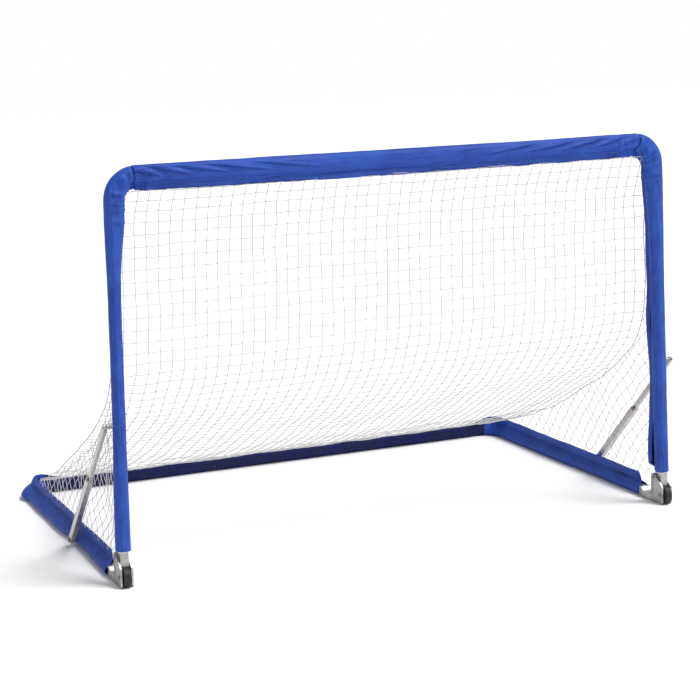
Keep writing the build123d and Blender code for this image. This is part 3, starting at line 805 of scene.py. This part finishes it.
def back_net(line, material):
    """Square netting across the back, from the crossbar to the back rail."""
    lengths = np.linalg.norm(np.diff(line, axis=0), axis=1).sum()
    rows = int(round(lengths / MESH_S))
    columns = int(round(2 * half_width / MESH_X))
    fine = resample(line, 2 * rows + 1)
    cords = Cords()
    shares = np.linspace(-1, 1, 2 * columns + 1)
    grid = np.stack([back_surface(u, fine) for u in shares])
    grid = drift(grid, 3, NET_WANDER)
    for i in range(1, 2 * columns, 2):
        grid[i, :, 2] -= 0.0012
    for i in range(0, 2 * columns + 1, 2):
        cords.cord(grid[i], EDGE_CORD if i in (0, 2 * columns) else CORD)
    for j in range(0, 2 * rows + 1, 2):
        cords.cord(grid[:, j], EDGE_CORD if j in (0, 2 * rows) else CORD)
    for i in range(2, 2 * columns, 2):
        for j in range(2, 2 * rows, 2):
            cords.knot(grid[i, j], KNOT_SIZE * CORD, i * 97 + j)
    return cords.piece("net_back_cords", material), grid


def side_net(name, side, edge, material):
    """Diamond netting between a post's flap, a rail's flap and the back panel's edge."""
    cords = Cords()
    corner = np.array([flap_y, flap_z])

    def inside(p):
        y, z = p[..., 0], p[..., 1]
        edge_y = np.interp(-z, -edge[:, 2], edge[:, 1])
        past_corner = y - corner[0] + z - corner[1] > SIDE_CUT
        return (y > corner[0]) & (z > corner[1]) & (y < edge_y) & past_corner

    def lift(p):
        y, z = p[..., 0], p[..., 1]
        bulge = SIDE_BULGE * np.sin(math.pi * round_corner(y, z))
        bulge *= smoothstep((y - corner[0]) / 0.2)
        placed = np.stack([side * (side_x(y, z) - bulge), y, z - 0.003 * np.sin(70 * y)], -1)
        return drift(placed, 9 + side, SIDE_WANDER)

    spread = np.arange(-45, 46)
    fine = np.arange(-900, 901) / 10.0
    for family in (0, 1):
        for k in spread:
            a, b = (k + 0 * fine, fine) if family else (fine, k + 0 * fine)
            y = corner[0] + SIDE_PITCH * (a + b) / 2 ** 0.5
            z = corner[1] + SIDE_PITCH * (a - b) / 2 ** 0.5
            flat = np.stack([y, z], -1)
            kept = inside(flat)
            if kept.sum() < 6:
                continue
            runs = np.split(np.arange(len(fine)), np.where(np.diff(kept.astype(int)) != 0)[0] + 1)
            for run in runs:
                if not kept[run[0]] or len(run) < 4:
                    continue
                chosen = [i for i in run if i in (run[0], run[-1]) or i % 5 == 0]
                cords.cord(lift(flat[chosen]), CORD)
    for i in spread:
        for j in spread:
            p = corner + SIDE_PITCH * np.array([i + j, i - j]) / 2 ** 0.5
            if inside(p[None])[0]:
                cords.knot(lift(p[None])[0], KNOT_SIZE * CORD, (i * 31 + j) % 360)
    return cords.piece(f"net_{name}_cords", material)


def hang_net(net, node):
    """Bakes the net's placement into its mesh, works out how far each point lies round the corner
    between the rails and the posts, though nothing uses that, and hides the CAD net it stands in
    for."""
    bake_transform(net)
    co = np.zeros(len(net.data.vertices) * 3, np.float32)
    net.data.vertices.foreach_get("co", co)
    co = co.reshape(-1, 3).astype(float)
    weight = round_corner(co[:, 1], co[:, 2])
    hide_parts(node)


def all_nets(material):
    back, grid = back_net(net_profile(), material)
    hang_net(back, "net_back")
    for name, side in SIDES:
        edge = grid[-1 if side > 0 else 0]
        hang_net(side_net(name, side, edge, material), f"net_{name}")


# ---- CAD pieces that stay ----
def finish_cad(materials):
    """Gives each CAD node its material, and a fine bevel where the real edge is broken."""
    slots = {p["node"]: p["material_slot"] for p in frame["record"]["subparts"]}
    bevels = {"cast": 0.0011, "stay": 0.0004, "steel": 0.0004, "plastic": 0.0004}
    for node, part in frame["nodes"].items():
        kind = slots[node]
        part.data.materials.clear()
        part.data.materials.append(materials[kind])
        if kind in bevels:
            bevel = part.modifiers.new("broken_edges", "BEVEL")
            bevel.width, bevel.segments = bevels[kind], 2
            bevel.limit_method, bevel.angle_limit = "ANGLE", math.radians(35)


# ---- floor, light and camera ----
def surroundings():
    """A plain pale floor, a white surround, a broad sun and a soft lamp."""
    bpy.ops.mesh.primitive_plane_add(size=60, location=(0, 0, -0.0005))
    floor = bpy.context.object
    floor.name = "floor"
    shader = Shader("pale_floor", 0.9, specular=0.1)
    shader.surface.inputs["Base Color"].default_value = (0.97, 0.97, 0.97, 1)
    floor.data.materials.append(shader.material)
    world = bpy.data.worlds.new("surround")
    bpy.context.scene.world = world
    world.use_nodes = True
    tree = world.node_tree
    seen = tree.nodes.new("ShaderNodeLightPath").outputs["Is Camera Ray"]
    strength = tree.nodes.new("ShaderNodeMapRange")
    strength.inputs["To Min"].default_value = SURROUND_LIGHT
    strength.inputs["To Max"].default_value = 1.0
    tree.links.new(seen, strength.inputs["Value"])
    tree.links.new(strength.outputs["Result"], tree.nodes["Background"].inputs["Strength"])
    tree.nodes["Background"].inputs["Color"].default_value = (1, 1, 1, 1)
    sun = bpy.data.lights.new("key", "SUN")
    sun.energy, sun.angle = SUN_STRENGTH, math.radians(SUN_SPREAD)
    key = bpy.data.objects.new("key", sun)
    key.rotation_euler = Vector(SUN_FROM).to_track_quat("Z", "Y").to_euler()
    bpy.context.scene.collection.objects.link(key)
    lamp("fill", LAMP_PLACE, LAMP_SIZE, LAMP_POWER)


def lamp(name, place, size, power):
    light = bpy.data.lights.new(name, "AREA")
    light.size, light.energy = size, power
    made = bpy.data.objects.new(name, light)
    made.location = place
    way = Vector((0, 0, 0.5)) - Vector(place)
    made.rotation_euler = way.to_track_quat("-Z", "Y").to_euler()
    bpy.context.scene.collection.objects.link(made)


def camera():
    """Standing height, a little left of the mouth, looking in and down."""
    made = bpy.data.objects.new("camera", bpy.data.cameras.new("camera"))
    yaw, pitch, roll = map(math.radians, (CAMERA_YAW, CAMERA_PITCH, CAMERA_ROLL))
    level = math.cos(pitch)
    ahead = Vector((math.sin(yaw) * level, math.cos(yaw) * level, -math.sin(pitch)))
    right = Vector((math.cos(yaw), -math.sin(yaw), 0))
    up = right.cross(ahead)
    turned = math.cos(roll) * right + math.sin(roll) * up
    risen = math.cos(roll) * up - math.sin(roll) * right
    place = (CAMERA_X, post_y - CAMERA_FRONT, CAMERA_Z)
    rows = [(turned[i], risen[i], -ahead[i], place[i]) for i in range(3)]
    made.matrix_world = Matrix(rows + [(0, 0, 0, 1)])
    made.data.lens, made.data.sensor_width = LENS, SENSOR
    made.data.clip_end = 100
    bpy.context.scene.collection.objects.link(made)
    bpy.context.scene.camera = made


def main():
    camera()
    surroundings()
    materials = {
        "aluminium": drawn_material(
            "drawn_aluminium", (168, 169, 172), (208, 208, 210), 0.34, (90, 90, 4)
        ),
        "cast": cast_material(),
        "stay": drawn_material("plated_stay", (160, 155, 154), (206, 201, 198), 0.36, (60, 60, 60)),
        "steel": drawn_material(
            "plated_steel", (112, 108, 105), (158, 154, 150), 0.38, (150, 150, 150)
        ),
        # Each fabric's third colour is the painted highlight of its streaks.
        "blue": fabric_material("blue_fabric", (20, 54, 144), (38, 82, 176), (62, 106, 196)),
        # A much darker copy of the blue fabric for the back rail: painted shade, the net's shade on
        # its face.
        "blue_painted_shade": fabric_material("blue_fabric_painted_shade", (2, 10, 60), (5, 18, 88), (14, 32, 116)),
        "thread": thread_material(),
        "net": net_material(),
        "rubber": rubber_material(),
        "plastic": plastic_material(),
    }
    finish_cad(materials)
    all_sleeves(materials)
    all_nets(materials["net"])
    bpy.context.scene.view_settings.view_transform = "Standard"


main()
